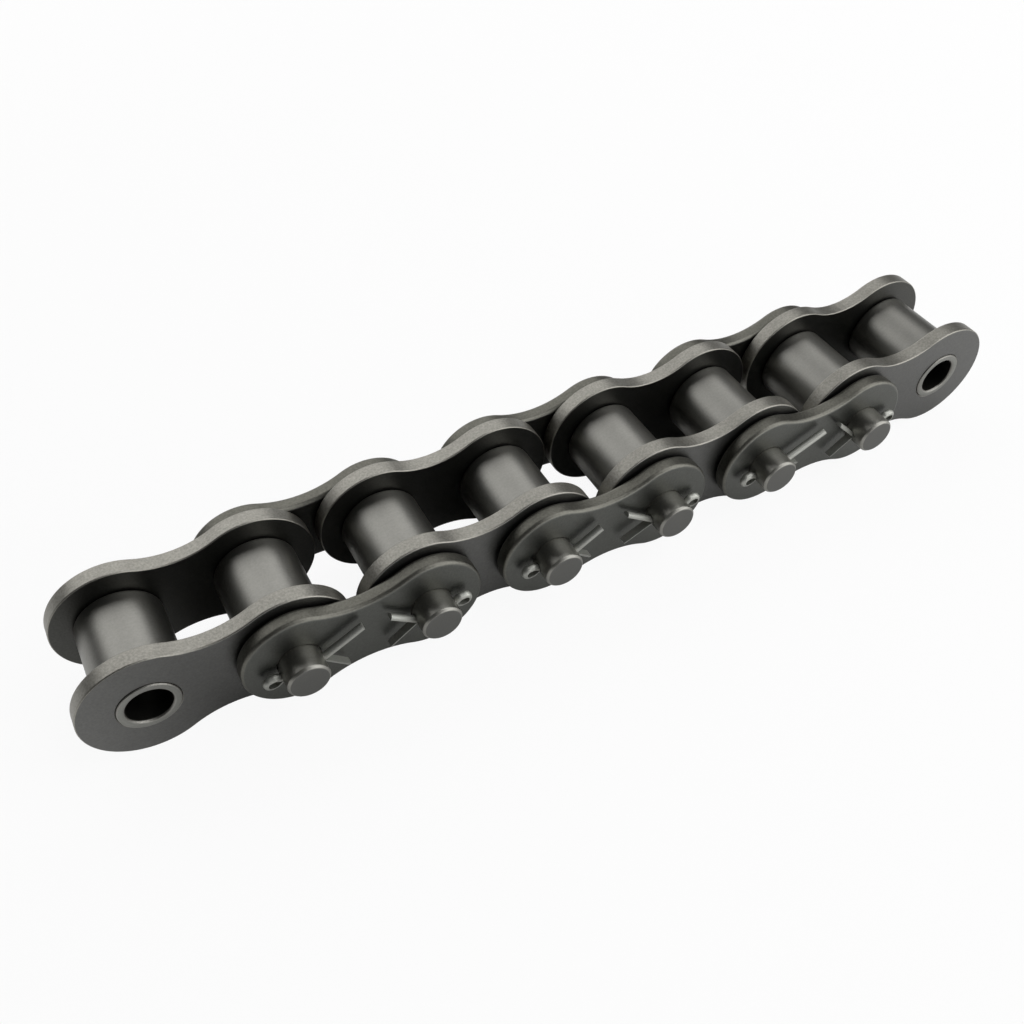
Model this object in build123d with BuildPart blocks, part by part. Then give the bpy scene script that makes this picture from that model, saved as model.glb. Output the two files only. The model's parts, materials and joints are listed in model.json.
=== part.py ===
"""A seven-pitch strand of cottered steel roller chain, 3/4 in pitch, in millimetres.

Four inner (roller) links are joined by three outer (pin) links. X runs along the strand, Y along the
pins and Z up. The origin is the middle of the first bush, so the joints lie at whole pitches along X.
The front of the chain, where the cotters are, faces -Y.
"""

import os
from math import acos, cos, degrees, radians, sin, sqrt

from build123d import *

# Pitch line
pitch = 19.05
inner_link_count = 4

# Link plates
plate_thickness = 2.4
inner_plate_height = 18.1
outer_plate_height = 15.6
inner_waist_radius = 12.2
outer_waist_radius = 14.6
plate_edge_chamfer = 0.3
inner_width = 12.7  # between the two inner plates
link_side_gap = 0.3  # between an inner plate and the outer plate over it

# Rollers and bushes
roller_diameter = 11.91
roller_side_play = 0.1  # at each end of the roller
roller_edge_chamfer = 0.4
bush_wall = 1.15
bush_proud = 0.2  # how far each bush end stands out of its plate
bush_chamfer = 0.2
roller_running_clearance = 0.08  # radial, roller on bush

# Pins
pin_diameter = 5.96
pin_running_clearance = 0.04  # radial, pin in bush
pin_front_reach = 3.85  # past the front outer plate
pin_point_chamfer = 0.4
rivet_height = 1.2
rivet_flare = 0.35  # how much wider in radius the riveted end is than the pin
rivet_dome = 0.35

# Cotters, bent from half-round wire
wire_radius = 0.6
wire_split = 0.08  # between the two flats where they lie together
cotter_hole_clearance = 0.1
cotter_stand_off = 1.15  # from the front outer plate to the cotter's middle
cotter_shoulder = 0.1  # from the pin's side to where the wire starts to open
eye_half_opening = 0.55
eye_flare_length = 0.75
eye_straight_length = 1.15
eye_roundness = 0.98  # of a full half circle round the eye's end
shoulder_bend_radius = 0.72
flare_bend_radius = 0.3
leg_bend_radius = 0.75
leg_length = 7.2  # the longest leg, from the side of the pin to its tip
# Each cotter is cut and opened by hand, so no two are quite alike. For each cotter: how far it and its
# hole are turned about the pin, legs upwards, then the angle of its upper leg, that leg's share of the
# full length, the angle of its lower leg, and that leg's share.
cotter_settings = [
    (6, 20.5, 0.90, 51, 0.62),
    (-2, 41, 0.63, 32, 0.67),
    (4, 26, 0.69, 44, 0.46),
    (-5, 42, 0.80, 18, 0.71),
    (8, 15, 1.00, 38, 0.33),
    (-6, 51, 0.70, 28, 0.65),
]

# Derived sizes and places
pin_radius = pin_diameter / 2
bush_bore_radius = pin_radius + pin_running_clearance
bush_radius = bush_bore_radius + bush_wall
roller_bore_radius = bush_radius + roller_running_clearance
roller_radius = roller_diameter / 2
inner_plate_y = inner_width / 2
outer_plate_y = inner_plate_y + plate_thickness + link_side_gap
outer_face_y = outer_plate_y + plate_thickness
bush_half_length = inner_plate_y + plate_thickness + bush_proud
roller_half_length = inner_plate_y - roller_side_play
pin_front_y = -(outer_face_y + pin_front_reach)
cotter_y = -(outer_face_y + cotter_stand_off)
cotter_hole_radius = wire_radius + wire_split / 2 + cotter_hole_clearance

FRONT = 1
BACK = -1


def link_plate(start_x, side, inner_face_y, height, waist_radius, hole_radius):
    """A waisted plate with two round ends one pitch apart, its outer edge broken by a chamfer."""
    end_radius = height / 2
    waist_reach = end_radius + waist_radius
    neck_angle = degrees(acos(pitch / 2 / waist_reach))
    waist_centre_z = sqrt(waist_reach**2 - (pitch / 2) ** 2)
    waist_sweep = 180 - 2 * neck_angle
    face_plane = Plane((start_x, 0, 0), x_dir=(1, 0, 0), z_dir=(0, -1, 0))
    with BuildPart() as plate:
        with BuildSketch(face_plane.offset(side * inner_face_y)):
            with BuildLine():
                CenterArc((0, 0), end_radius, neck_angle, 360 - 2 * neck_angle)
                CenterArc((pitch, 0), end_radius, neck_angle - 180, 360 - 2 * neck_angle)
                CenterArc((pitch / 2, waist_centre_z), waist_radius, 180 + neck_angle, waist_sweep)
                CenterArc((pitch / 2, -waist_centre_z), waist_radius, neck_angle, waist_sweep)
            make_face()
            with Locations((0, 0), (pitch, 0)):
                Circle(hole_radius, mode=Mode.SUBTRACT)
        extrude(amount=side * plate_thickness)
        outer_face = plate.faces().filter_by(Axis.Y).sort_by(Axis.Y)[0 if side == FRONT else -1]
        chamfer(outer_face.outer_wire().edges(), plate_edge_chamfer)
    return plate.part


def bush(centre_x):
    """A plain bush, pressed into both inner plates, with its ends chamfered."""
    with BuildPart() as sleeve:
        with BuildSketch(Plane.XY):
            with Locations((centre_x + bush_bore_radius, 0)):
                Rectangle(bush_wall, 2 * bush_half_length, align=(Align.MIN, Align.CENTER))
        revolve(axis=Axis((centre_x, 0, 0), (0, 1, 0)))
        chamfer(sleeve.edges().filter_by(GeomType.CIRCLE).sort_by(SortBy.RADIUS)[-2:], bush_chamfer)
    return sleeve.part


def roller(centre_x):
    """A roller that turns on its bush, with its outer edges broken."""
    with BuildPart() as tyre:
        with BuildSketch(Plane.XY):
            with Locations((centre_x + roller_bore_radius, 0)):
                Rectangle(
                    roller_radius - roller_bore_radius,
                    2 * roller_half_length,
                    align=(Align.MIN, Align.CENTER),
                )
        revolve(axis=Axis((centre_x, 0, 0), (0, 1, 0)))
        chamfer(tyre.edges().filter_by(GeomType.CIRCLE).sort_by(SortBy.RADIUS)[-2:], roller_edge_chamfer)
    return tyre.part


def pin(centre_x, hole_slope):
    """A pin with a chamfered, cross-drilled front end and a spun rivet head at the back."""
    rivet_radius = pin_radius + rivet_flare
    dome_radius = (rivet_radius**2 + rivet_dome**2) / (2 * rivet_dome)
    with BuildPart() as stud:
        with BuildSketch(Plane((centre_x, 0, 0))):
            with BuildLine():
                shank = Polyline(
                    (0, pin_front_y),
                    (pin_radius - pin_point_chamfer, pin_front_y),
                    (pin_radius, pin_front_y + pin_point_chamfer),
                    (pin_radius, outer_face_y),
                    (rivet_radius, outer_face_y + rivet_flare),
                    (rivet_radius, outer_face_y + rivet_height - rivet_dome),
                )
                dome = RadiusArc(shank @ 1, (0, outer_face_y + rivet_height), -dome_radius)
                Line(dome @ 1, shank @ 0)
            make_face()
        revolve(axis=Axis((centre_x, 0, 0), (0, 1, 0)))
        with Locations((centre_x, cotter_y, 0)):
            Cylinder(
                cotter_hole_radius,
                2 * pin_diameter,
                rotation=(0, 90 - hole_slope, 0),
                mode=Mode.SUBTRACT,
            )
    return stud.part


def cotter(centre_x, leg_direction, slope, upper_angle, upper_share, lower_angle, lower_share):
    """A split cotter: an open eye on one side of the pin and two spread legs on the other."""
    half_split = wire_split / 2
    shoulder_x = -(pin_radius + cotter_shoulder)
    flare_x = shoulder_x - eye_flare_length
    eye_end_x = flare_x - eye_straight_length
    bend_x = pin_radius + cotter_shoulder

    def half(sign, angle, share):
        """The corners of one half of the wire, from its leg's tip to the end of the eye."""
        length = share * leg_length
        tip = (bend_x + length * cos(radians(angle)), half_split + length * sin(radians(angle)))
        corners = [
            tip,
            (bend_x, half_split),
            (shoulder_x, half_split),
            (flare_x, eye_half_opening),
            (eye_end_x, eye_half_opening),
        ]
        return [(leg_direction * x, sign * z) for x, z in corners]

    eye_bend_radius = eye_roundness * eye_half_opening
    bend_radii = [leg_bend_radius, shoulder_bend_radius, flare_bend_radius, eye_bend_radius]
    upper = half(1, upper_angle, upper_share)
    lower = half(-1, lower_angle, lower_share)
    wire_x = (cos(radians(slope)), 0, sin(radians(slope)))
    wire_plane = Plane((centre_x, cotter_y, 0), x_dir=wire_x, z_dir=(0, -1, 0))
    with BuildPart() as split_pin:
        with BuildLine(wire_plane) as bent_wire:
            FilletPolyline(*upper, *reversed(lower), radius=bend_radii + bend_radii[::-1])
        leg_tip = bent_wire.line @ 0
        wire_direction = bent_wire.line % 0
        with BuildSketch(Plane(leg_tip, x_dir=(0, -leg_direction, 0), z_dir=wire_direction)):
            with BuildLine():
                CenterArc((0, 0), wire_radius, 0, 180)
                Line((-wire_radius, 0), (wire_radius, 0))
            make_face()
        sweep(path=bent_wire.line)
    return split_pin.part


def keep(part, name):
    """Labels a finished piece and writes it to its own file."""
    part.label = name
    export_step(part, f"parts/{name}.step")


def build_inner_link(number):
    """Two plates pressed onto two bushes, with a roller free to turn on each bush."""
    first_x = 2 * (number - 1) * pitch
    for side, side_name in ((FRONT, "front"), (BACK, "back")):
        plate = link_plate(
            first_x, side, inner_plate_y, inner_plate_height, inner_waist_radius, bush_radius
        )
        keep(plate, f"inner_plate_{number}_{side_name}")
    for end_x, end_name in ((first_x, "left"), (first_x + pitch, "right")):
        keep(bush(end_x), f"bush_{number}_{end_name}")
        keep(roller(end_x), f"roller_{number}_{end_name}")


def build_outer_link(number):
    """Two plates on two pins, each pin held at the front by a cotter whose legs point inwards."""
    first_x = (2 * number - 1) * pitch
    for side, side_name in ((FRONT, "front"), (BACK, "back")):
        plate = link_plate(
            first_x, side, outer_plate_y, outer_plate_height, outer_waist_radius, pin_radius
        )
        keep(plate, f"outer_plate_{number}_{side_name}")
    for end, (end_x, end_name) in enumerate(((first_x, "left"), (first_x + pitch, "right"))):
        leg_direction = 1 - 2 * end
        turn, *legs = cotter_settings[(2 * (number - 1) + end) % len(cotter_settings)]
        slope = leg_direction * turn
        keep(pin(end_x, slope), f"pin_{number}_{end_name}")
        keep(cotter(end_x, leg_direction, slope, *legs), f"cotter_{number}_{end_name}")


os.makedirs("parts", exist_ok=True)
for link_number in range(1, inner_link_count + 1):
    build_inner_link(link_number)
for link_number in range(1, inner_link_count):
    build_outer_link(link_number)
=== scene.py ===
"""Dresses a short strand of cottered steel roller chain for its studio picture.

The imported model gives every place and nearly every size. Its link plates, bushes, rollers, pins
and split cotters are made again here, with the edges that shearing, turning and tumbling leave.
"""

import json
import logging
import math
from collections.abc import Callable, Sequence
from dataclasses import dataclass, replace
from enum import Enum
from functools import partial
from typing import ClassVar

import bmesh
import bpy
from mathutils import Matrix, Vector

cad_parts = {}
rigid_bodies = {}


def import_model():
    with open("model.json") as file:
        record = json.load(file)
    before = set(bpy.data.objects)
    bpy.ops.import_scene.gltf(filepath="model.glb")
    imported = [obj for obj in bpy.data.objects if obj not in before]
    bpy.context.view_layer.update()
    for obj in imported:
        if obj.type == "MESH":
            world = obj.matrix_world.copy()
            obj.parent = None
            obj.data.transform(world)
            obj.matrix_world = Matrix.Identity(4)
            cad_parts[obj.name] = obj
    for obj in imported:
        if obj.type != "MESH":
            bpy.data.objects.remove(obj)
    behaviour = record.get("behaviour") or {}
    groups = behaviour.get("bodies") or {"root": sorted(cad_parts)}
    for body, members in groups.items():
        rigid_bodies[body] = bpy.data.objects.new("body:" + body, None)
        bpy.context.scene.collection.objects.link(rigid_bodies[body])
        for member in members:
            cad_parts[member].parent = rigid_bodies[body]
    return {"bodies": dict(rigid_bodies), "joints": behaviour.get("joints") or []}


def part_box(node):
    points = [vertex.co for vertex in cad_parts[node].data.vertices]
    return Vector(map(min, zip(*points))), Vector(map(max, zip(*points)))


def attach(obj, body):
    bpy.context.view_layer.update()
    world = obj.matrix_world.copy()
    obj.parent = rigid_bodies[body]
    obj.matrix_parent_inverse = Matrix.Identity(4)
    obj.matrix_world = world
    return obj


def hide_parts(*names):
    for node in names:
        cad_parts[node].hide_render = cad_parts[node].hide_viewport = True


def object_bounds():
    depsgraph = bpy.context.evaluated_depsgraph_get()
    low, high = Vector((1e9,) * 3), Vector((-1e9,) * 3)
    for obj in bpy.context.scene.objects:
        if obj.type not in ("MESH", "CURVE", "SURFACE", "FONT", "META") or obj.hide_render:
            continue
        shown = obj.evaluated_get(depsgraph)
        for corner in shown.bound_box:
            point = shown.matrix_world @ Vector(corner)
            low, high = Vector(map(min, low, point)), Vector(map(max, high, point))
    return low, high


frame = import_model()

MM = 0.001
QUARTER_TURN = math.pi / 2
CAD_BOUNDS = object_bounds()

# Two points of a mesh that are nearer than this are one.
SAME_POINT = 0.0005 * MM
# The sharpest turn between two faces that still shades as a curve.
SMOOTH_ANGLE = math.radians(35)
# How much a face's area counts where it shades with its neighbours.
FLAT_WEIGHT = 50

Node = bpy.types.Node
Socket = bpy.types.NodeSocket
Adder = Callable[..., Node]

logging.basicConfig(level=logging.INFO, format="%(message)s")
LOG = logging.getLogger("chain")


class Labelled(Enum):
    """A choice that node names spell in lower case."""

    @property
    def label(self) -> str:
        """The word that node names use for this choice."""
        return self.name.lower()


class Side(Labelled):
    """The side of the strand that a plate is on, with the way its outer face looks along Y."""

    FRONT = -1
    BACK = 1


class End(Labelled):
    """The end of a link, with the way that the legs of a cotter there point along X."""

    LEFT = 1
    RIGHT = -1


class InputKind(Enum):
    """The kinds of input that a piece's tree takes."""

    NUMBER = "NodeSocketFloat"
    PLACE = "NodeSocketVector"
    MATERIAL = "NodeSocketMaterial"


def linear(colour: str) -> tuple[float, float, float, float]:
    """Turns an sRGB hex colour into the linear RGBA that Blender's sockets take.

    Args:
        colour: the colour as "#rrggbb".

    Returns:
        Linear red, green and blue, with an alpha of one.
    """
    channels = [int(colour[i : i + 2], 16) / 255 for i in (1, 3, 5)]
    levels = [c / 12.92 if c <= 0.04045 else ((c + 0.055) / 1.055) ** 2.4 for c in channels]
    return (*levels, 1.0)


def add_node(
    tree: bpy.types.NodeTree, kind: str, inputs: dict | None = None, **settings: object
) -> Node:
    """Adds a node to a tree, with its properties, its constant inputs and its links.

    Args:
        tree: the shader or geometry tree that gets the node.
        kind: the node's type.
        inputs: by socket name or number, either a value or what feeds the socket: an output, a
            node for its first output, or a list of them for a socket that takes several.
        settings: properties of the node, by name.

    Returns:
        The new node.
    """
    node = tree.nodes.new(kind)
    for name, value in settings.items():
        setattr(node, name, value)
    for key, given in (inputs or {}).items():
        for value in given if isinstance(given, list) else [given]:
            source = value.outputs[0] if isinstance(value, Node) else value
            if isinstance(source, Socket):
                tree.links.new(source, node.inputs[key])
            else:
                node.inputs[key].default_value = source
    return node


# ------------------------------------------------------------------------------------------------
# Finishes
# ------------------------------------------------------------------------------------------------


def new_material(name: str) -> tuple[bpy.types.Material, Adder]:
    """Makes a material with an empty tree.

    Args:
        name: the material's name.

    Returns:
        The material, and what adds a node to its tree.
    """
    material = bpy.data.materials.new(name)
    material.use_nodes = True
    material.node_tree.nodes.clear()
    return material, partial(add_node, material.node_tree)


@dataclass(frozen=True)
class SteelFinish:
    """A bare steel surface, as one step of making and hardening left it.

    The sides that look along the pins and the sides round them are coloured apart, because one is
    cut or rolled and the other is ground or sheared. What looks inwards, to the strand's middle,
    is painted darker than what looks outwards, as painted shade between the parts. Corners are
    brighter, partly from wear and partly as a painted highlight.
    """

    name: str
    side_colour: str
    face_colour: str
    inside_colour: str
    worn_colour: str
    side_roughness: float
    face_roughness: float
    grain_mm: float
    grain_depth_mm: float
    grain_share: float
    mottle_mm: float
    mottle_share: float
    lay_mm: float
    lay_share: float
    corner_wear: float
    face_calm: float
    pitch: float

    # How squarely a surface looks along the pins, from 0 to 1, where it stops being a side and
    # where it is wholly a face.
    side_until: ClassVar[float] = 0.7
    face_from: ClassVar[float] = 0.98
    # How fast the corners' wear and painted highlight fall off towards a face, and where they
    # start and are full.
    wear_fall: ClassVar[float] = 3.0
    wear_from: ClassVar[float] = 0.1
    wear_full: ClassVar[float] = 0.4
    # The levels of a noise that its swing of colour lies between.
    noise_low: ClassVar[float] = 0.25
    noise_high: ClassVar[float] = 0.75
    noise_roughness: ClassVar[float] = 0.6

    def material(self) -> bpy.types.Material:
        """Builds the shader.

        Returns:
            A metallic material that reads Object coordinates.
        """
        material, add = new_material(self.name)
        coordinates = add("ShaderNodeTexCoord")
        place = add("ShaderNodeSeparateXYZ", {0: coordinates.outputs["Object"]})
        normal = add("ShaderNodeSeparateXYZ", {0: coordinates.outputs["Normal"]})
        squareness = add("ShaderNodeMath", {0: normal.outputs["Y"]}, operation="ABSOLUTE")
        facing = add(
            "ShaderNodeMapRange",
            {"Value": squareness, "From Min": self.side_until, "From Max": self.face_from},
            interpolation_type="SMOOTHSTEP",
        )
        patterns = (
            (coordinates.outputs["Object"], self.grain_mm, 2),
            (coordinates.outputs["Object"], self.mottle_mm, 4),
            (self._round_the_pins(add, place), self.lay_mm, 3),
        )
        grain, mottle, lay = (
            add(
                "ShaderNodeTexNoise",
                {
                    "Vector": vector,
                    "Scale": 1 / (size_mm * MM),
                    "Detail": detail,
                    "Roughness": self.noise_roughness,
                },
            )
            for vector, size_mm, detail in patterns
        )
        clean = self._colour(add, facing, self._face(add, place, normal), (grain, mottle, lay))
        # The brighter colour along the corners is partly wear and partly a painted highlight.
        worn = add(
            "ShaderNodeMix",
            {0: self._wear(add, squareness, grain), 6: clean, 7: linear(self.worn_colour)},
            data_type="RGBA",
        )
        roughness = add(
            "ShaderNodeMapRange",
            {"Value": facing, "To Min": self.side_roughness, "To Max": self.face_roughness},
        )
        varied = add(
            "ShaderNodeMath",
            {0: mottle, 1: self.mottle_share / 2, 2: roughness},
            operation="MULTIPLY_ADD",
        )
        bump = add(
            "ShaderNodeBump",
            {"Strength": 1.0, "Distance": self.grain_depth_mm * MM, "Height": grain},
        )
        surface = add(
            "ShaderNodeBsdfPrincipled",
            {"Base Color": worn.outputs[2], "Metallic": 1.0, "Roughness": varied, "Normal": bump},
        )
        add("ShaderNodeOutputMaterial", {0: surface})
        return material

    def _round_the_pins(self, add: Adder, place: Node) -> Node:
        """Adds coordinates that change with the distance from a pin's axis and along it only.

        Args:
            add: what adds a node to the tree.
            place: the split Object coordinates.

        Returns:
            The coordinates that tool marks, which run round each axis, are drawn on.
        """
        across = add(
            "ShaderNodeMath",
            {0: place.outputs["X"], 1: self.pitch / 2, 2: -self.pitch / 2},
            operation="WRAP",
        )
        flat = add("ShaderNodeCombineXYZ", {0: across, 1: place.outputs["Z"]})
        radius = add("ShaderNodeVectorMath", {0: flat}, operation="LENGTH")
        return add("ShaderNodeCombineXYZ", {0: radius.outputs["Value"], 1: place.outputs["Y"]})

    def _face(self, add: Adder, place: Node, normal: Node) -> Socket:
        """Adds the colour of a face, with painted shade where it looks inwards, to the strand's
        middle.

        Args:
            add: what adds a node to the tree.
            place: the split Object coordinates.
            normal: the split normal.

        Returns:
            The colour.
        """
        outwards = add(
            "ShaderNodeMath", {0: normal.outputs["Y"], 1: place.outputs["Y"]}, operation="MULTIPLY"
        )
        # Faces that look inwards take the inside colour: painted shade between the parts.
        inwards = add("ShaderNodeMath", {0: outwards, 1: 0.0}, operation="LESS_THAN")
        face = add(
            "ShaderNodeMix",
            {0: inwards, 6: linear(self.face_colour), 7: linear(self.inside_colour)},
            data_type="RGBA",
        )
        return face.outputs[2]

    def _colour(
        self, add: Adder, facing: Node, face: Socket, patterns: tuple[Node, Node, Node]
    ) -> Socket:
        """Adds the side and face colours, made uneven by the three patterns.

        Args:
            add: what adds a node to the tree.
            facing: how squarely the surface looks along the pins, from 0 to 1.
            face: the colour of a face.
            patterns: the fine speckle, the broad patches and the tool marks.

        Returns:
            The colour before wear.
        """
        base = add(
            "ShaderNodeMix", {0: facing, 6: linear(self.side_colour), 7: face}, data_type="RGBA"
        )
        level: float | Node = 1.0
        for pattern, swing in zip(patterns, (self.grain_share, self.mottle_share, self.lay_share)):
            step = add(
                "ShaderNodeMapRange",
                {
                    "Value": pattern,
                    "From Min": self.noise_low,
                    "From Max": self.noise_high,
                    "To Min": 1 - swing,
                    "To Max": 1 + swing,
                },
            )
            level = add("ShaderNodeMath", {0: level, 1: step}, operation="MULTIPLY")
        strength = add(
            "ShaderNodeMapRange", {"Value": facing, "To Min": 1.0, "To Max": self.face_calm}
        )
        uneven = add(
            "ShaderNodeMix",
            {0: strength, 6: base.outputs[2], 7: level},
            data_type="RGBA",
            blend_type="MULTIPLY",
        )
        return uneven.outputs[2]

    def _wear(self, add: Adder, squareness: Node, grain: Node) -> Node:
        """Adds the bright corner line, part wear, part painted highlight, broken by the speckle.

        Args:
            add: what adds a node to the tree.
            squareness: how squarely the surface looks along the pins, from 0 to 1.
            grain: the fine speckle.

        Returns:
            The share of worn and painted-highlight colour.
        """
        off_face = add(
            "ShaderNodeMath",
            {0: squareness, 1: -self.wear_fall, 2: self.wear_fall},
            operation="MULTIPLY_ADD",
        )
        off_corner = add("ShaderNodeMath", {0: squareness, 1: off_face}, operation="MINIMUM")
        corner = add(
            "ShaderNodeMapRange",
            {
                "Value": off_corner,
                "From Min": self.wear_from,
                "From Max": self.wear_full,
                "To Min": 0.0,
                "To Max": self.corner_wear,
            },
            interpolation_type="SMOOTHSTEP",
        )
        broken = add(
            "ShaderNodeMapRange", {"Value": grain, "From Min": 0.2, "From Max": 0.6, "To Min": 0.6}
        )
        return add("ShaderNodeMath", {0: corner, 1: broken}, operation="MULTIPLY", use_clamp=True)


def ray_share(add: Adder, shares: dict[str, float | Node]) -> Node:
    """Adds a share that depends on what a ray is for.

    Args:
        add: what adds a node to the tree.
        shares: the share for each kind of ray, by the name of its output.

    Returns:
        The share, which is nothing for every other kind of ray.
    """
    path = add("ShaderNodeLightPath")
    total: float | Node = 0.0
    for kind, share in shares.items():
        total = add(
            "ShaderNodeMath",
            {0: path.outputs[kind], 1: share, 2: total},
            operation="MULTIPLY_ADD",
            use_clamp=True,
        )
    return total


@dataclass(frozen=True)
class StudioCard:
    """White card for the floor, which shows the strand's shadow and what hangs below the card.

    The levels are shares of plain white. The distances, in metres, say where a level starts to
    grow and where it is reached. Metal sees painted light on the card: none under the strand, and
    more away from it, towards the right and past the strand's left end.
    """

    name: str = "matt_white_card"
    colour: str = "#f9f9f9"
    seen_white: float = 0.93
    seen_from: float = 0.12
    seen_to: float = 0.45
    mirrored_white: float = 0.6
    mirrored_from: float = 0.012
    mirrored_to: float = 0.05
    mirrored_along: float = 0.04
    end_inset: float = 0.018
    end_outset: float = 0.001

    def material(self) -> bpy.types.Material:
        """Builds the card's shader.

        Returns:
            Matt card, which lets the white behind it through for the rays that show it.
        """
        material, add = new_material(self.name)
        place = add("ShaderNodeTexCoord").outputs["Object"]
        card = add(
            "ShaderNodeBsdfPrincipled",
            {"Base Color": linear(self.colour), "Roughness": 1.0, "Specular IOR Level": 0.0},
        )
        white = add("ShaderNodeEmission", {"Strength": 1.0})
        clear = add("ShaderNodeBsdfTransparent")
        # Metal sees painted light on the card, which is dark under the strand.
        glossy = ray_share(add, {"Is Glossy Ray": self._mirrored(add, place)})
        mirrored = add("ShaderNodeMixShader", {0: glossy, 1: card, 2: white})
        whiteness = self._whiteness(add, place)
        seen = ray_share(
            add,
            {"Is Camera Ray": whiteness, "Is Transmission Ray": whiteness, "Is Shadow Ray": 1.0},
        )
        surface = add("ShaderNodeMixShader", {0: seen, 1: mirrored, 2: clear})
        add("ShaderNodeOutputMaterial", {0: surface})
        return material

    def _mirrored(self, add: Adder, place: Socket) -> Node:
        """Adds the painted light that metal sees on the card.

        It is dark under the strand, but for its left end, and grows away from it.

        Args:
            add: what adds a node to the tree.
            place: the Object coordinates.

        Returns:
            The share of plain white.
        """
        axes = add("ShaderNodeSeparateXYZ", {0: place})
        across = add("ShaderNodeMath", {0: axes.outputs["Y"]}, operation="ABSOLUTE")
        beside = add(
            "ShaderNodeMath",
            {0: axes.outputs["X"], 1: self.mirrored_along, 2: across},
            operation="MULTIPLY_ADD",
        )
        before = add(
            "ShaderNodeMath", {0: CAD_BOUNDS[0][0], 1: axes.outputs["X"]}, operation="SUBTRACT"
        )
        share: float | Node = 0.0
        # The painted light grows away from the strand and towards the right, and past its left
        # end.
        for distance, start, stop in (
            (beside, self.mirrored_from, self.mirrored_to),
            (before, -self.end_inset, self.end_outset),
        ):
            step = add(
                "ShaderNodeMapRange",
                {
                    "Value": distance,
                    "From Min": start,
                    "From Max": stop,
                    "To Min": 0.0,
                    "To Max": self.mirrored_white,
                },
            )
            share = add("ShaderNodeMath", {0: step, 1: share}, operation="MAXIMUM")
        return share

    def _whiteness(self, add: Adder, place: Socket) -> Node:
        """Adds how white the card is seen, which grows to plain white away from the strand.

        Args:
            add: what adds a node to the tree.
            place: the Object coordinates.

        Returns:
            The share of plain white.
        """
        distance = add("ShaderNodeVectorMath", {0: place}, operation="LENGTH")
        return add(
            "ShaderNodeMapRange",
            {
                "Value": distance.outputs["Value"],
                "From Min": self.seen_from,
                "From Max": self.seen_to,
                "To Min": self.seen_white,
                "To Max": 1.0,
            },
            interpolation_type="SMOOTHSTEP",
        )


# ------------------------------------------------------------------------------------------------
# Making pieces with Geometry Nodes
# ------------------------------------------------------------------------------------------------


class PieceTree:
    """A Geometry Nodes tree with named inputs that turns a starting shape into one finished piece.

    Every tree works in a plane of its own, with X across, Y up and Z out of the plane. Its last
    steps stand that plane up in the strand's frame: X stays, Y becomes up, and Z points to the
    front.
    """

    title: ClassVar[str]
    sizes: ClassVar[tuple[str, ...]]

    def __init__(self) -> None:
        """Makes the tree, with its inputs, its nodes and its output."""
        self.tree = bpy.data.node_groups.new(self.title, "GeometryNodeTree")
        self.add: Adder = partial(add_node, self.tree)
        interface = self.tree.interface
        interface.new_socket("Start", in_out="INPUT", socket_type="NodeSocketGeometry")
        kinds = dict.fromkeys(self.sizes, InputKind.NUMBER)
        kinds |= {"Place": InputKind.PLACE, "Finish": InputKind.MATERIAL}
        for label, kind in kinds.items():
            interface.new_socket(label, in_out="INPUT", socket_type=kind.value)
        interface.new_socket("Piece", in_out="OUTPUT", socket_type="NodeSocketGeometry")
        self.given = self.add("NodeGroupInput").outputs
        placed = self.add(
            "GeometryNodeTransform",
            {
                "Geometry": self.shape(),
                "Rotation": (QUARTER_TURN, 0.0, 0.0),
                "Translation": self.given["Place"],
            },
        )
        whole = self.add("GeometryNodeRealizeInstances", {0: placed})
        finished = self.add(
            "GeometryNodeSetMaterial", {"Geometry": whole, "Material": self.given["Finish"]}
        )
        self.add("NodeGroupOutput", {0: finished})

    def shape(self) -> Node:
        """Adds the nodes of one kind of piece and returns the last; each kind has its own."""
        raise NotImplementedError

    def sweep(self, path: Node | Socket, section: Node, capped: bool = False) -> Node:
        """Sweeps a section along a path, upright on the tree's plane.

        Args:
            path: the path.
            section: the section's curve.
            capped: whether the ends are filled.

        Returns:
            The swept mesh.
        """
        upright = self.add("GeometryNodeSetCurveNormal", {"Curve": path}, mode="Z_UP")
        return self.add(
            "GeometryNodeCurveToMesh",
            {"Curve": upright, "Profile Curve": section, "Fill Caps": capped},
        )

    def bend(self, steps: int) -> Node:
        """Rounds the starting curve's corners, each by the radius that its point holds.

        Args:
            steps: how many points each bend is drawn with.

        Returns:
            The bent curve.
        """
        radius = self.add("GeometryNodeInputRadius")
        return self.add(
            "GeometryNodeFilletCurve",
            {"Curve": self.given["Start"], "Count": steps, "Radius": radius, "Limit Radius": True},
            mode="POLY",
        )

    def make(
        self, name: str, start: bpy.types.Curve | bpy.types.Mesh, values: dict
    ) -> bpy.types.Object:
        """Runs the tree on a starting shape and keeps the result as a plain mesh.

        Args:
            name: the piece's name.
            start: the curve or mesh that the tree starts from.
            values: the value of each input, by name.

        Returns:
            The piece's object, at the origin, with its place in its mesh.
        """
        seed = bpy.data.objects.new(name + "_seed", start)
        bpy.context.scene.collection.objects.link(seed)
        modifier = seed.modifiers.new("shape", "NODES")
        modifier.node_group = self.tree
        for item in self.tree.interface.items_tree:
            if item.in_out == "INPUT" and item.name in values:
                modifier[item.identifier] = values[item.name]
        graph = bpy.context.evaluated_depsgraph_get()
        mesh = bpy.data.meshes.new_from_object(seed.evaluated_get(graph), depsgraph=graph)
        seed.modifiers.clear()
        bpy.data.objects.remove(seed)
        mesh.name = name
        close_mesh(mesh)
        piece = bpy.data.objects.new(name, mesh)
        bpy.context.scene.collection.objects.link(piece)
        return piece


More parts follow.
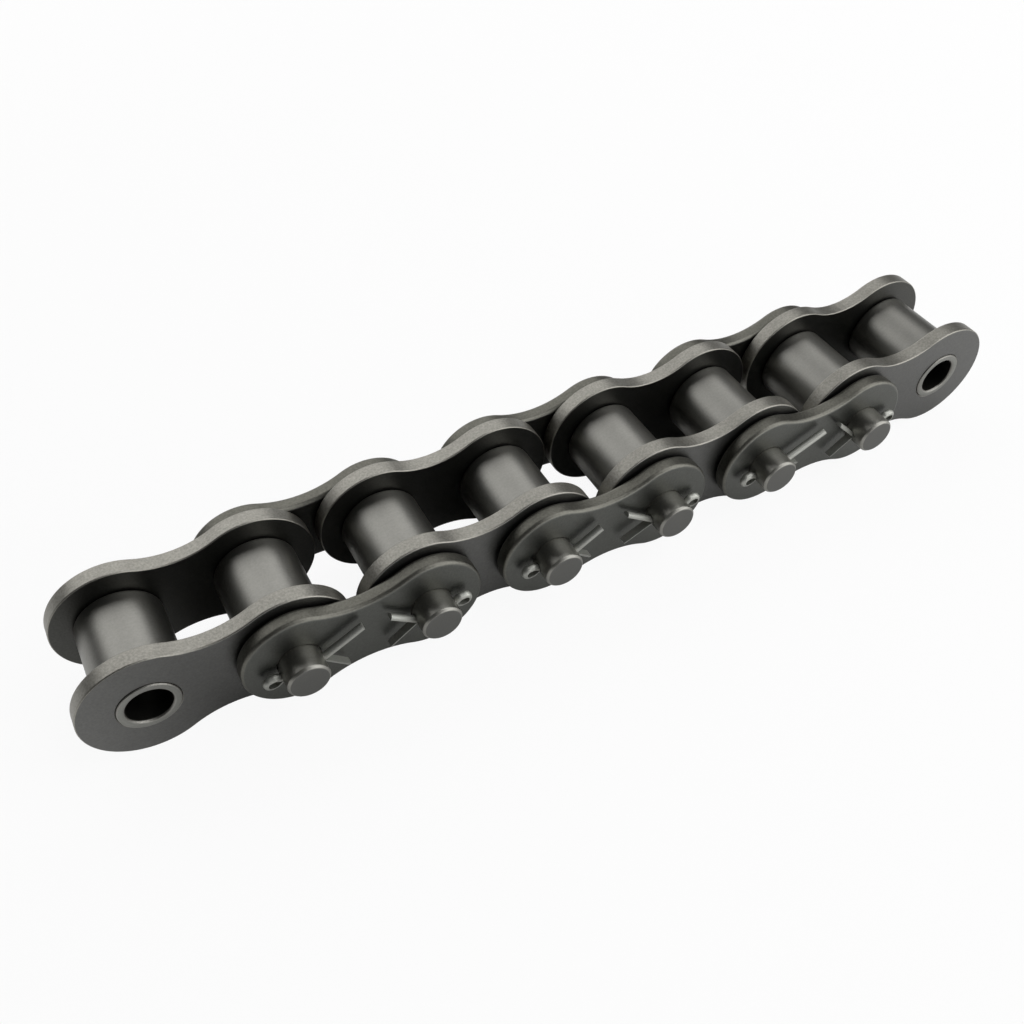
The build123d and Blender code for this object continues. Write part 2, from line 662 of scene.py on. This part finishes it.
def close_mesh(mesh: bpy.types.Mesh) -> None:
    """Joins a mesh's coincident points, turns its faces outwards and sets its shading.

    Args:
        mesh: the mesh to finish.
    """
    work = bmesh.new()
    work.from_mesh(mesh)
    bmesh.ops.remove_doubles(work, verts=work.verts, dist=SAME_POINT)
    bmesh.ops.dissolve_degenerate(work, edges=work.edges, dist=SAME_POINT)
    bmesh.ops.recalc_face_normals(work, faces=work.faces)
    open_edges = sum(not edge.is_manifold for edge in work.edges)
    work.to_mesh(mesh)
    work.free()
    mesh.shade_smooth()
    mesh.set_sharp_from_angle(angle=SMOOTH_ANGLE)
    if open_edges:
        LOG.warning("%s has %d open edges", mesh.name, open_edges)


class PlateTree(PieceTree):
    """A flat plate with two holes, stamped from strip: its outline is the starting curve.

    The rim and the holes' walls are each swept in three strips: the band through the thickness,
    and the rounded corner at either face.
    """

    title = "stamped_plate"
    sizes = ("Thickness", "Edge Round", "Half Pitch", "Hole Radius", "Hole Round")
    edge_steps: ClassVar[int] = 9
    mouth_steps: ClassVar[int] = 4
    hole_steps: ClassVar[int] = 72

    def shape(self) -> Node:
        """Adds the rim, the two faces and the two holes.

        Returns:
            The plate's strips, joined.
        """
        given = self.given
        outline = self.add("GeometryNodeSetCurveNormal", {"Curve": given["Start"]}, mode="Z_UP")
        holes = self._circles(given["Hole Radius"])
        strips = [
            self._wall(outline, given["Edge Round"], self.edge_steps, -1.0, -QUARTER_TURN),
            self._face(outline, 0.0),
            self._face(outline, given["Thickness"]),
            self._wall(holes, given["Hole Round"], self.mouth_steps, 1.0, math.pi),
        ]
        return self.add("GeometryNodeJoinGeometry", {0: strips})

    def _wall(self, path: Node, edge_round: Socket, steps: int, way: float, start: float) -> Node:
        """Sweeps a wall through the plate's thickness, with a rounded corner at either face.

        The section is drawn with X out from the path and -Y through the thickness.

        Args:
            path: the outline, or the holes' circles.
            edge_round: the corners' radius.
            steps: how many points each corner is drawn with.
            way: -1 where the corners lean inwards from the path and 1 where they lean outwards.
            start: where the first corner's arc starts, anticlockwise from straight out.

        Returns:
            The wall's mesh.
        """
        band_end = self.add(
            "ShaderNodeMath", {0: self.given["Thickness"], 1: edge_round}, operation="SUBTRACT"
        )
        reach = self.add("ShaderNodeMath", {0: edge_round, 1: way}, operation="MULTIPLY")
        low = self.add("ShaderNodeCombineXYZ", {1: edge_round})
        high = self.add("ShaderNodeCombineXYZ", {1: band_end})
        runs = [self.add("GeometryNodeCurvePrimitiveLine", {"Start": low, "End": high})]
        for angle, height in ((start, edge_round), (start - way * QUARTER_TURN, band_end)):
            arc = self.add(
                "GeometryNodeCurveArc",
                {
                    "Resolution": steps,
                    "Radius": edge_round,
                    "Start Angle": angle,
                    "Sweep Angle": QUARTER_TURN,
                },
                mode="RADIUS",
            )
            centre = self.add("ShaderNodeCombineXYZ", {0: reach, 1: height})
            runs.append(
                self.add("GeometryNodeTransform", {"Geometry": arc, "Translation": centre})
            )
        joined = self.add("GeometryNodeJoinGeometry", {0: runs})
        upturned = (1.0, -1.0, 1.0)
        section = self.add("GeometryNodeTransform", {"Geometry": joined, "Scale": upturned})
        return self.sweep(path, section)

    def _face(self, outline: Node, height: Socket | float) -> Node:
        """Fills a flat face between the outline and the two holes.

        Args:
            outline: the plate's outline.
            height: the height of the face.

        Returns:
            The face's mesh.
        """
        given = self.given
        normal = self.add("GeometryNodeInputNormal")
        back = self.add("ShaderNodeMath", {0: given["Edge Round"], 1: -1.0}, operation="MULTIPLY")
        shift = self.add("ShaderNodeVectorMath", {0: normal, "Scale": back}, operation="SCALE")
        edge = self.add("GeometryNodeSetPosition", {"Geometry": outline, "Offset": shift})
        mouth = self.add(
            "ShaderNodeMath", {0: given["Hole Radius"], 1: given["Hole Round"]}, operation="ADD"
        )
        joined = self.add("GeometryNodeJoinGeometry", {0: [edge, self._circles(mouth)]})
        filled = self.add("GeometryNodeFillCurve", {0: joined})
        lift = self.add("ShaderNodeCombineXYZ", {2: height})
        return self.add("GeometryNodeTransform", {"Geometry": filled, "Translation": lift})

    def _circles(self, radius: Node | Socket) -> Node:
        """Draws a circle about the axis of each hole.

        Args:
            radius: the circles' radius.

        Returns:
            The pair of circles.
        """
        circle = self.add(
            "GeometryNodeCurvePrimitiveCircle", {"Resolution": self.hole_steps, "Radius": radius}
        )
        pair = []
        for way in (-1.0, 1.0):
            reach = self.add(
                "ShaderNodeMath", {0: self.given["Half Pitch"], 1: way}, operation="MULTIPLY"
            )
            centre = self.add("ShaderNodeCombineXYZ", {0: reach})
            pair.append(
                self.add("GeometryNodeTransform", {"Geometry": circle, "Translation": centre})
            )
        return self.add("GeometryNodeJoinGeometry", {0: pair})


class RingTree(PieceTree):
    """A turned ring, such as a roller: a wall's section with rounded corners, swept round."""

    title = "turned_ring"
    sizes = ("Bore Radius", "Outer Radius", "Length", "Bore Round", "Outer Round")
    round_steps: ClassVar[int] = 96
    corner_steps: ClassVar[int] = 5

    def shape(self) -> Node:
        """Adds the wall's section and sweeps it round the axis.

        Returns:
            The ring.
        """
        given = self.given
        wall = self.add(
            "ShaderNodeMath",
            {0: given["Outer Radius"], 1: given["Bore Radius"]},
            operation="SUBTRACT",
        )
        section = self.add(
            "GeometryNodeCurvePrimitiveQuadrilateral", {"Width": wall, "Height": given["Length"]}
        )
        across = self.add("ShaderNodeSeparateXYZ", {0: self.add("GeometryNodeInputPosition")})
        outside = self.add(
            "FunctionNodeCompare",
            {0: across, 1: 0.0},
            data_type="FLOAT",
            operation="GREATER_THAN",
        )
        corner = self.add(
            "GeometryNodeSwitch",
            {"Switch": outside, "False": given["Bore Round"], "True": given["Outer Round"]},
            input_type="FLOAT",
        )
        rounded = self.add(
            "GeometryNodeFilletCurve",
            {"Curve": section, "Count": self.corner_steps, "Radius": corner},
            mode="POLY",
        )
        middle = self.add(
            "ShaderNodeMath", {0: wall, 1: 0.5, 2: given["Bore Radius"]}, operation="MULTIPLY_ADD"
        )
        path = self.add(
            "GeometryNodeCurvePrimitiveCircle", {"Resolution": self.round_steps, "Radius": middle}
        )
        return self.sweep(path, rounded)


class WireTree(PieceTree):
    """Half-round wire bent along the starting curve, whose points hold their own bend radii."""

    title = "bent_wire"
    sizes = ("Wire Radius",)
    bend_steps: ClassVar[int] = 10
    round_steps: ClassVar[int] = 13

    def shape(self) -> Node:
        """Adds the bends and sweeps the half-round section along them.

        Returns:
            The wire.
        """
        even = self.add(
            "GeometryNodeSetCurveRadius", {"Curve": self.bend(self.bend_steps), "Radius": 1.0}
        )
        half_round = self.add(
            "GeometryNodeCurveArc",
            {
                "Resolution": self.round_steps,
                "Radius": self.given["Wire Radius"],
                "Start Angle": -QUARTER_TURN,
                "Sweep Angle": math.pi,
            },
            mode="RADIUS",
        )
        section = self.add("GeometryNodeSetSplineCyclic", {"Geometry": half_round, "Cyclic": True})
        return self.sweep(even, section, capped=True)


class PinTree(PieceTree):
    """A turned pin: a section from its point to its rivet head, swept round and drilled across."""

    title = "cross_drilled_pin"
    sizes = ("Path Radius", "Hole Radius", "Hole Length", "Hole Height", "Hole Turn")
    edge_steps: ClassVar[int] = 5
    round_steps: ClassVar[int] = 80
    hole_steps: ClassVar[int] = 40

    def shape(self) -> Node:
        """Sweeps the starting section round the axis and drills it.

        Returns:
            The pin.
        """
        given = self.given
        path = self.add(
            "GeometryNodeCurvePrimitiveCircle",
            {"Resolution": self.round_steps, "Radius": given["Path Radius"]},
        )
        turned = self.add(
            "GeometryNodeMergeByDistance",
            {"Geometry": self.sweep(path, self.bend(self.edge_steps)), "Distance": SAME_POINT},
        )
        drill = self.add(
            "GeometryNodeMeshCylinder",
            {
                "Vertices": self.hole_steps,
                "Radius": given["Hole Radius"],
                "Depth": given["Hole Length"],
            },
        )
        height = self.add("ShaderNodeCombineXYZ", {2: given["Hole Height"]})
        turn = self.add("ShaderNodeCombineXYZ", {1: QUARTER_TURN, 2: given["Hole Turn"]})
        across = self.add(
            "GeometryNodeTransform", {"Geometry": drill, "Translation": height, "Rotation": turn}
        )
        return self.add(
            "GeometryNodeMeshBoolean",
            {"Mesh 1": turned, "Mesh 2": across},
            operation="DIFFERENCE",
            solver="EXACT",
        )


def route(name: str, points: Sequence[tuple[float, ...]], closed: bool = False) -> bpy.types.Curve:
    """Makes a curve of straight runs in the plane of a piece's tree.

    Args:
        name: the curve's name.
        points: the place of each point, in metres, and its bend radius where it has one.
        closed: whether the last point joins the first.

    Returns:
        The curve.
    """
    curve = bpy.data.curves.new(name, "CURVE")
    curve.dimensions = "3D"
    curve.twist_mode = "Z_UP"
    spline = curve.splines.new("POLY")
    spline.points.add(len(points) - 1)
    for point, (x, y, *bend) in zip(spline.points, points):
        point.co = (x, y, 0.0, 1.0)
        if bend:
            point.radius = bend[0]
    spline.use_cyclic_u = closed
    return curve


# ------------------------------------------------------------------------------------------------
# Pieces
# ------------------------------------------------------------------------------------------------


@dataclass
class Kit:
    """What every piece is made with: the material of each slot, and the tree of each kind."""

    finishes: dict[str, bpy.types.Material]
    trees: dict[type[PieceTree], PieceTree]


@dataclass
class Piece:
    """One finished piece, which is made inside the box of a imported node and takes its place."""

    kit: Kit
    slot: str
    number: int
    spot: Side | End
    body: str

    suffix: ClassVar[str]
    tree: ClassVar[type[PieceTree]]
    # Whether large flats stay flat in shading, beside small rounded corners.
    keeps_flats: ClassVar[bool] = True

    def __post_init__(self) -> None:
        """Names the piece and reads its node's box."""
        self.node = f"{self.slot}_{self.number}_{self.spot.label}"
        self.name = f"{self.node}_{self.suffix}"
        self.low, self.high = (Vector(corner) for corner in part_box(self.node))
        self.middle = (self.low + self.high) / 2

    def start(self) -> bpy.types.Curve | bpy.types.Mesh:
        """Makes the shape that the piece's tree starts from; each class has its own."""
        raise NotImplementedError

    def values(self) -> dict:
        """Returns the value of each input of the tree, by name; each class has its own."""
        raise NotImplementedError

    def build(self) -> None:
        """Makes the piece and hangs it on its body."""
        values = {**self.values(), "Finish": self.kit.finishes[self.slot]}
        piece = self.kit.trees[self.tree].make(self.name, self.start(), values)
        if self.keeps_flats:
            modifier = piece.modifiers.new("flats", "WEIGHTED_NORMAL")
            modifier.mode = "FACE_AREA"
            modifier.weight = FLAT_WEIGHT
            modifier.keep_sharp = True
        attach(piece, self.body)
        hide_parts(self.node)
        size = " x ".join(f"{side / MM:.2f}" for side in self.high - self.low)
        LOG.info("%s: %s mm", self.name, size)


@dataclass
class LinkPlate(Piece):
    """A waisted stamping with a round end over each joint."""

    waist_radius: float
    hole_radius: float
    edge_round: float
    hole_round: float = 0.18 * MM
    arc_step: float = math.radians(3)

    suffix: ClassVar[str] = "stamping"
    tree: ClassVar[type[PieceTree]] = PlateTree

    @property
    def end_radius(self) -> float:
        """The radius of the round ends."""
        return (self.high.z - self.low.z) / 2

    @property
    def half_pitch(self) -> float:
        """Half the distance between the holes."""
        return (self.high.x - self.low.x) / 2 - self.end_radius

    def start(self) -> bpy.types.Curve:
        """Draws the plate's outline about its middle, anticlockwise.

        Returns:
            The arcs of the two ends and the two waists, in straight runs.
        """
        end_radius, half_pitch = self.end_radius, self.half_pitch
        reach = end_radius + self.waist_radius
        neck = math.acos(half_pitch / reach)
        waist_height = reach * math.sin(neck)
        arcs = (
            (half_pitch, 0.0, end_radius, neck - math.pi, math.pi - neck),
            (0.0, waist_height, self.waist_radius, -neck, neck - math.pi),
            (-half_pitch, 0.0, end_radius, neck, 2 * math.pi - neck),
            (0.0, -waist_height, self.waist_radius, math.pi - neck, neck),
        )
        points = []
        for centre_x, centre_y, radius, start, stop in arcs:
            steps = max(2, round(abs(stop - start) / self.arc_step))
            for step in range(steps):
                angle = start + (stop - start) * step / steps
                x = centre_x + radius * math.cos(angle)
                points.append((x, centre_y + radius * math.sin(angle)))
        return route(self.name, points, closed=True)

    def values(self) -> dict:
        """Gathers the plate's sizes.

        Returns:
            The sizes, with the middle of the plate's back face as its place.
        """
        return {
            "Thickness": self.high.y - self.low.y,
            "Edge Round": self.edge_round,
            "Half Pitch": self.half_pitch,
            "Hole Radius": self.hole_radius,
            "Hole Round": self.hole_round,
            "Place": (self.middle.x, self.high.y, self.middle.z),
        }


@dataclass
class Ring(Piece):
    """A bush or a roller: a turned ring on one joint's axis."""

    bore_radius: float
    bore_round: float
    outer_round: float

    suffix: ClassVar[str] = "ring"
    tree: ClassVar[type[PieceTree]] = RingTree

    def start(self) -> bpy.types.Mesh:
        """Returns an empty mesh, because the tree draws a ring's section itself."""
        return bpy.data.meshes.new(self.name + "_start")

    def values(self) -> dict:
        """Gathers the ring's sizes.

        Returns:
            The sizes, with the ring's middle as its place.
        """
        return {
            "Bore Radius": self.bore_radius,
            "Outer Radius": (self.high.x - self.low.x) / 2,
            "Length": self.high.y - self.low.y,
            "Bore Round": self.bore_round,
            "Outer Round": self.outer_round,
            "Place": tuple(self.middle),
        }


@dataclass(frozen=True)
class Setting:
    """How one cotter was fitted: its turn about the pin, and each leg's angle and length.

    The turn lifts the legs. The angles are from the cotter's own axis, in degrees.
    """

    turn: float
    upper_angle: float
    upper_length: float
    lower_angle: float
    lower_length: float


@dataclass
class SplitCotter(Piece):
    """A split cotter of half-round wire: an eye, two flats side by side, and two opened legs."""

    setting: Setting
    pin_radius: float
    shoulder: float = 0.1 * MM
    half_split: float = 0.04 * MM
    eye_half_opening: float = 0.55 * MM
    eye_roundness: float = 0.98
    flare_length: float = 0.75 * MM
    straight_length: float = 1.15 * MM
    shoulder_bend: float = 0.72 * MM
    flare_bend: float = 0.3 * MM
    leg_bend: float = 0.75 * MM

    suffix: ClassVar[str] = "wire"
    tree: ClassVar[type[PieceTree]] = WireTree
    keeps_flats: ClassVar[bool] = False

    def half(self, way: int, angle: float, length: float) -> list[tuple[float, float, float]]:
        """Works out the corners of one half of the wire, from its tip to the end of the eye.

        Args:
            way: 1 for the upper half and -1 for the lower.
            angle: how far the leg is opened, in degrees.
            length: the leg's length from the side of the pin.

        Returns:
            Each corner's place in the cotter's plane and its bend radius.
        """
        bend_x = self.pin_radius + self.shoulder
        flare_x = -bend_x - self.flare_length
        opened = math.radians(angle)
        eye = self.eye_half_opening
        corners = (
            (bend_x + length * math.cos(opened), self.half_split + length * math.sin(opened), 0.0),
            (bend_x, self.half_split, self.leg_bend),
            (-bend_x, self.half_split, self.shoulder_bend),
            (flare_x, eye, self.flare_bend),
            (flare_x - self.straight_length, eye, eye * self.eye_roundness),
        )
        turn = math.radians(self.setting.turn)
        placed = []
        for x, y, bend in corners:
            turned_x = x * math.cos(turn) - way * y * math.sin(turn)
            turned_y = x * math.sin(turn) + way * y * math.cos(turn)
            placed.append((self.spot.value * turned_x, turned_y, bend))
        return placed

    def start(self) -> bpy.types.Curve:
        """Draws the wire's path.

        Returns:
            The path from the tip of one leg, round the eye, to the tip of the other.
        """
        setting = self.setting
        corners = self.half(1, setting.upper_angle, setting.upper_length)
        corners += reversed(self.half(-1, setting.lower_angle, setting.lower_length))
        if self.spot is End.RIGHT:
            corners.reverse()
        return route(self.name, corners)

    def values(self) -> dict:
        """Gathers the wire's sizes.

        Returns:
            The sizes, with a point on the axis of the pin as the cotter's place.
        """
        pin_low, pin_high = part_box(f"pin_{self.number}_{self.spot.label}")
        axis_x, _, axis_z = (Vector(pin_low) + Vector(pin_high)) / 2
        return {
            "Wire Radius": (self.high.y - self.low.y) / 2,
            "Place": (axis_x, self.middle.y, axis_z),
        }


@dataclass
class CrossDrilledPin(Piece):
    """A pin with a broken edge at its point, a cross hole for its cotter and a spun rivet head."""

    turn: float
    radius: float
    point_chamfer: float = 0.34 * MM
    point_round: float = 0.3 * MM
    hole_radius: float = 0.74 * MM
    rivet_height: float = 1.2 * MM
    rivet_edge: float = 0.42 * MM
    rivet_round: float = 0.3 * MM
    spun_radius: float = 1.9 * MM
    spun_round: float = 1.2 * MM
    dimple_radius: float = 0.75 * MM
    dimple_floor_radius: float = 0.225 * MM
    dimple_depth: float = 0.22 * MM

    suffix: ClassVar[str] = "turned"
    tree: ClassVar[type[PieceTree]] = PinTree

    def start(self) -> bpy.types.Curve:
        """Draws half of the pin's section, from the middle of its point to that of its head.

        Returns:
            The section, with X out from the swept path and Y to the back.
        """
        front, back = self.low.y, self.high.y
        head_radius = (self.high.x - self.low.x) / 2
        plate_face = back - self.rivet_height
        dimple_floor = back - self.dimple_depth
        corners = (
            (0.0, front, 0.0),
            (self.radius - self.point_chamfer, front, self.point_round),
            (self.radius, front + self.point_chamfer, self.point_round),
            (self.radius, plate_face, 0.0),
            (head_radius, plate_face + head_radius - self.radius, self.rivet_round / 2),
            (head_radius, back - self.rivet_edge, self.rivet_round),
            (self.spun_radius, back, self.spun_round),
            (self.dimple_radius, back, self.rivet_round),
            (self.dimple_floor_radius, dimple_floor, self.rivet_round),
            (0.0, dimple_floor, 0.0),
        )
        path_radius = self.radius / 2
        return route(self.name, [(reach - path_radius, y, bend) for reach, y, bend in corners])

    def values(self) -> dict:
        """Gathers the sizes of the pin and of its cross hole.

        Returns:
            The sizes, with a point on the pin's axis as its place.
        """
        cotter_low, cotter_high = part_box(f"cotter_{self.number}_{self.spot.label}")
        return {
            "Path Radius": self.radius / 2,
            "Hole Radius": self.hole_radius,
            "Hole Length": 4 * self.radius,
            "Hole Height": -(cotter_low[1] + cotter_high[1]) / 2,
            "Hole Turn": self.spot.value * math.radians(self.turn),
            "Place": (self.middle.x, 0.0, self.middle.z),
        }


# ------------------------------------------------------------------------------------------------
# Sub-assemblies
# ------------------------------------------------------------------------------------------------


@dataclass
class InnerLink:
    """A roller link: two plates pressed onto two bushes, with a roller round each bush."""

    number: int
    kit: Kit
    waist_radius: float = 12.2 * MM
    plate_edge: float = 0.22 * MM
    bush_bore_radius: float = 3.02 * MM
    roller_clearance: float = 0.08 * MM
    bush_edge: float = 0.26 * MM
    bush_bore_edge: float = 0.42 * MM
    roller_edge: float = 0.5 * MM
    roller_bore_edge: float = 0.15 * MM

    def build(self) -> None:
        """Makes the link's six pieces; each roller rides on a body of its own."""
        kit, number = self.kit, self.number
        body = f"inner_link_{number}"
        bush_low, bush_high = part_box(f"bush_{number}_left")
        bush_radius = (bush_high[0] - bush_low[0]) / 2
        for side in Side:
            shape = (self.waist_radius, bush_radius, self.plate_edge)
            LinkPlate(kit, "inner_plate", number, side, body, *shape).build()
        for end in End:
            shape = (self.bush_bore_radius, self.bush_bore_edge, self.bush_edge)
            Ring(kit, "bush", number, end, body, *shape).build()
            bore_radius = bush_radius + self.roller_clearance
            shape = (bore_radius, self.roller_bore_edge, self.roller_edge)
            Ring(kit, "roller", number, end, f"roller_{number}_{end.label}", *shape).build()


@dataclass
class OuterLink:
    """A pin link: two plates on two pins, each pin held by a split cotter at the front."""

    number: int
    kit: Kit
    settings: dict[End, Setting]
    waist_radius: float = 14.6 * MM
    plate_edge: float = 0.6 * MM
    pin_radius: float = 2.98 * MM

    def build(self) -> None:
        """Makes the link's six pieces."""
        kit, number = self.kit, self.number
        body = f"outer_link_{number}"
        for side in Side:
            shape = (self.waist_radius, self.pin_radius, self.plate_edge)
            LinkPlate(kit, "outer_plate", number, side, body, *shape).build()
        for end, setting in self.settings.items():
            CrossDrilledPin(kit, "pin", number, end, body, setting.turn, self.pin_radius).build()
            SplitCotter(kit, "cotter", number, end, body, setting, self.pin_radius).build()


# ------------------------------------------------------------------------------------------------
# Studio
# ------------------------------------------------------------------------------------------------


@dataclass(frozen=True)
class SoftBox:
    """A soft box over the strand; its level is how bright its cloth is, where 1 shows as white."""

    name: str
    offset: tuple[float, float, float]
    size: tuple[float, float]
    level: float


@dataclass
class Studio:
    """The floor, the lights, the world and the camera, whose lens alone is in millimetres."""

    floor_half_side: float = 1.5
    world_colour: str = "#ffffff"
    world_level: float = 0.04
    mirrored_lift: float = 0.02
    soft_boxes: tuple[SoftBox, ...] = (
        SoftBox("soft_box_behind", (-0.02, 0.5, 0.38), (1.1, 0.5), 1.62),
        SoftBox("soft_box_in_front", (0.3, -0.36, 0.13), (0.7, 0.26), 2.1),
        SoftBox("soft_box_overhead", (0.2, -0.08, 0.3), (0.36, 0.33), 1.8),
    )
    camera_place: tuple[float, float, float] = (0.00677, -0.09121, 0.11307)
    camera_heading: float = 0.5024
    camera_dip: float = 0.8364
    camera_roll: float = 0.0032
    sensor_width: float = 36.0
    focal_length: float = 36.265
    clip_start: float = 0.005

    def build(self) -> None:
        """Makes the studio round the strand."""
        low, high = (Vector(corner) for corner in CAD_BOUNDS)
        self.build_floor(low.z)
        self.build_world()
        self.build_lights((low + high) / 2)
        self.build_camera()

    def build_floor(self, height: float) -> None:
        """Lays the floor.

        Args:
            height: where the floor lies.
        """
        half = self.floor_half_side
        corners = [
            (x, y, height) for x, y in ((-half, -half), (half, -half), (half, half), (-half, half))
        ]
        mesh = bpy.data.meshes.new("floor")
        mesh.from_pydata(corners, [], [(0, 1, 2, 3)])
        mesh.materials.append(StudioCard().material())
        floor = bpy.data.objects.new("floor", mesh)
        bpy.context.scene.collection.objects.link(floor)

    def build_world(self) -> None:
        """Lights the scene evenly from a pale world, which itself is seen as white."""
        world = bpy.data.worlds.new("studio_world")
        world.use_nodes = True
        tree = world.node_tree
        add = partial(add_node, tree)
        lift = 1 - self.world_level
        shares = {
            "Is Camera Ray": lift,
            "Is Transmission Ray": lift,
            "Is Glossy Ray": self.mirrored_lift,
        }
        level = add(
            "ShaderNodeMath", {0: ray_share(add, shares), 1: self.world_level}, operation="ADD"
        )
        background = tree.nodes["Background"]
        background.inputs["Color"].default_value = linear(self.world_colour)
        tree.links.new(level.outputs[0], background.inputs["Strength"])
        bpy.context.scene.world = world

    def build_lights(self, middle: Vector) -> None:
        """Hangs the soft boxes round the strand.

        Args:
            middle: the strand's middle.
        """
        for soft_box in self.soft_boxes:
            width, height = soft_box.size
            lamp = bpy.data.lights.new(soft_box.name, "AREA")
            lamp.shape = "RECTANGLE"
            lamp.size = width
            lamp.size_y = height
            lamp.energy = math.pi * width * height * soft_box.level
            lamp_object = bpy.data.objects.new(soft_box.name, lamp)
            offset = Vector(soft_box.offset)
            lamp_object.location = middle + offset
            lamp_object.rotation_euler = (-offset).to_track_quat("-Z", "Y").to_euler()
            bpy.context.scene.collection.objects.link(lamp_object)
            LOG.info("%s: %.2f x %.2f m", soft_box.name, width, height)

    def build_camera(self) -> None:
        """Sets the camera at its viewing angle."""
        lens = bpy.data.cameras.new("camera")
        lens.sensor_width = self.sensor_width
        lens.lens = self.focal_length
        lens.clip_start = self.clip_start
        camera = bpy.data.objects.new("camera", lens)
        camera.location = self.camera_place
        turn = Matrix.Rotation(-self.camera_heading, 3, "Z")
        dip = Matrix.Rotation(QUARTER_TURN - self.camera_dip, 3, "X")
        roll = Matrix.Rotation(self.camera_roll, 3, "Z")
        camera.rotation_euler = (turn @ dip @ roll).to_euler()
        bpy.context.scene.collection.objects.link(camera)
        bpy.context.scene.camera = camera
        bpy.context.scene.view_settings.view_transform = "Standard"


# ------------------------------------------------------------------------------------------------
# The strand
# ------------------------------------------------------------------------------------------------


def joint_pitch() -> float:
    """Measures the strand's pitch.

    Returns:
        The distance between two neighbouring joints.
    """
    hinges = (joint for joint in frame["joints"] if joint["name"].startswith("link_hinge"))
    first, second, *_ = sorted(hinge["pos_m"][0] for hinge in hinges)
    return second - first


def make_finishes(pitch: float) -> dict[str, bpy.types.Material]:
    """Makes the strand's materials.

    Args:
        pitch: the distance between joints, which the tool marks repeat with.

    Returns:
        The material of each kind of piece, by its slot.
    """
    # Stamped medium-carbon strip, hardened, tempered and tumbled with grit: dull dark faces, and a
    # sandy grain on the paler sheared rims. The grit's pits are about 0.1 mm across, and are drawn
    # at three times that so that they show.
    inner_plate = SteelFinish(
        name="grit_tumbled_hardened_strip_steel",
        side_colour="#95938c",
        face_colour="#6a6a68",
        # The inward faces are painted darker, as shade between the plates.
        inside_colour="#50504d",
        worn_colour="#9f9d95",
        side_roughness=0.42,
        face_roughness=0.38,
        grain_mm=0.32,
        grain_depth_mm=0.024,
        grain_share=0.22,
        mottle_mm=3.0,
        mottle_share=0.07,
        lay_mm=0.5,
        lay_share=0.0,
        # The corners are brighter, partly worn and partly as a painted highlight.
        corner_wear=0.7,
        face_calm=0.45,
        pitch=pitch,
    )
    # The same steel from the outer links: their rims are painted darker as the shade of the taller
    # inner plates, and their edges are brighter, partly rubbed and partly as a painted highlight.
    outer_plate = replace(
        inner_plate,
        name="edge_rubbed_hardened_strip_steel",
        # Rims painted darker, standing for the shade that the taller inner plates cast on them.
        side_colour="#6a6962",
        face_colour="#62635f",
        worn_colour="#7c7b74",
        corner_wear=0.5,
    )
    # Case-hardened and ground tube, turned bright across its ends. The turning lines here and on
    # the rollers and pins are finer than 0.1 mm, and are drawn at about 0.3 mm so that they show.
    bush = replace(
        inner_plate,
        name="turned_case_hardened_bush_steel",
        side_colour="#4a4946",
        face_colour="#8c8c87",
        inside_colour="#8c8c87",
        worn_colour="#aaa8a2",
        side_roughness=0.4,
        face_roughness=0.42,
        grain_share=0.06,
        grain_depth_mm=0.006,
        lay_mm=0.25,
        lay_share=0.08,
        corner_wear=0.6,
        face_calm=1.0,
    )
    # Case-hardened and tumbled smooth: an even satin grey with faint turning lines.
    roller = replace(
        inner_plate,
        name="tumbled_case_hardened_roller_steel",
        side_colour="#8e8d88",
        face_colour="#5c5c59",
        inside_colour="#5c5c59",
        worn_colour="#98968f",
        side_roughness=0.39,
        face_roughness=0.5,
        grain_mm=0.3,
        grain_depth_mm=0.008,
        grain_share=0.07,
        mottle_share=0.04,
        lay_mm=0.3,
        lay_share=0.03,
        corner_wear=0.1,
    )
    # Ground and case-hardened rod, cropped and chamfered at its point.
    pin = replace(
        inner_plate,
        name="ground_case_hardened_pin_steel",
        side_colour="#96958f",
        face_colour="#6a6a67",
        inside_colour="#6a6a67",
        worn_colour="#96958f",
        side_roughness=0.38,
        face_roughness=0.42,
        grain_mm=0.3,
        grain_depth_mm=0.01,
        grain_share=0.09,
        mottle_share=0.06,
        lay_mm=0.3,
        lay_share=0.05,
        corner_wear=0.2,
    )
    # Drawn mild steel wire, left soft: the palest steel here, with a slight sheen.
    cotter = replace(
        inner_plate,
        name="drawn_mild_wire_steel",
        side_colour="#b6b7b1",
        face_colour="#a6a7a1",
        inside_colour="#a6a7a1",
        worn_colour="#babbb5",
        side_roughness=0.52,
        face_roughness=0.52,
        grain_mm=0.25,
        grain_depth_mm=0.006,
        grain_share=0.07,
        mottle_share=0.06,
        corner_wear=0.2,
    )
    finishes = {
        "inner_plate": inner_plate,
        "outer_plate": outer_plate,
        "bush": bush,
        "roller": roller,
        "pin": pin,
        "cotter": cotter,
    }
    return {slot: finish.material() for slot, finish in finishes.items()}


# Every cotter was cut and opened by hand, so no two are alike.
SETTINGS = (
    {
        End.LEFT: Setting(6, 20.5, 6.48 * MM, 51, 4.46 * MM),
        End.RIGHT: Setting(-2, 41, 4.54 * MM, 32, 4.82 * MM),
    },
    {
        End.LEFT: Setting(4, 26, 4.97 * MM, 44, 3.31 * MM),
        End.RIGHT: Setting(-5, 42, 5.76 * MM, 18, 5.11 * MM),
    },
    {
        End.LEFT: Setting(8, 15, 7.2 * MM, 38, 2.38 * MM),
        End.RIGHT: Setting(-6, 51, 5.04 * MM, 28, 4.68 * MM),
    },
)


def main() -> None:
    """Builds the strand's links and the studio."""
    trees = {kind: kind() for kind in (PlateTree, RingTree, WireTree, PinTree)}
    kit = Kit(make_finishes(joint_pitch()), trees)
    inner_count = sum(name.startswith("inner_link_") for name in frame["bodies"])
    for number in range(1, inner_count + 1):
        InnerLink(number, kit).build()
    for number, settings in enumerate(SETTINGS, start=1):
        OuterLink(number, kit, settings).build()
    Studio().build()


if __name__ == "__main__":
    main()
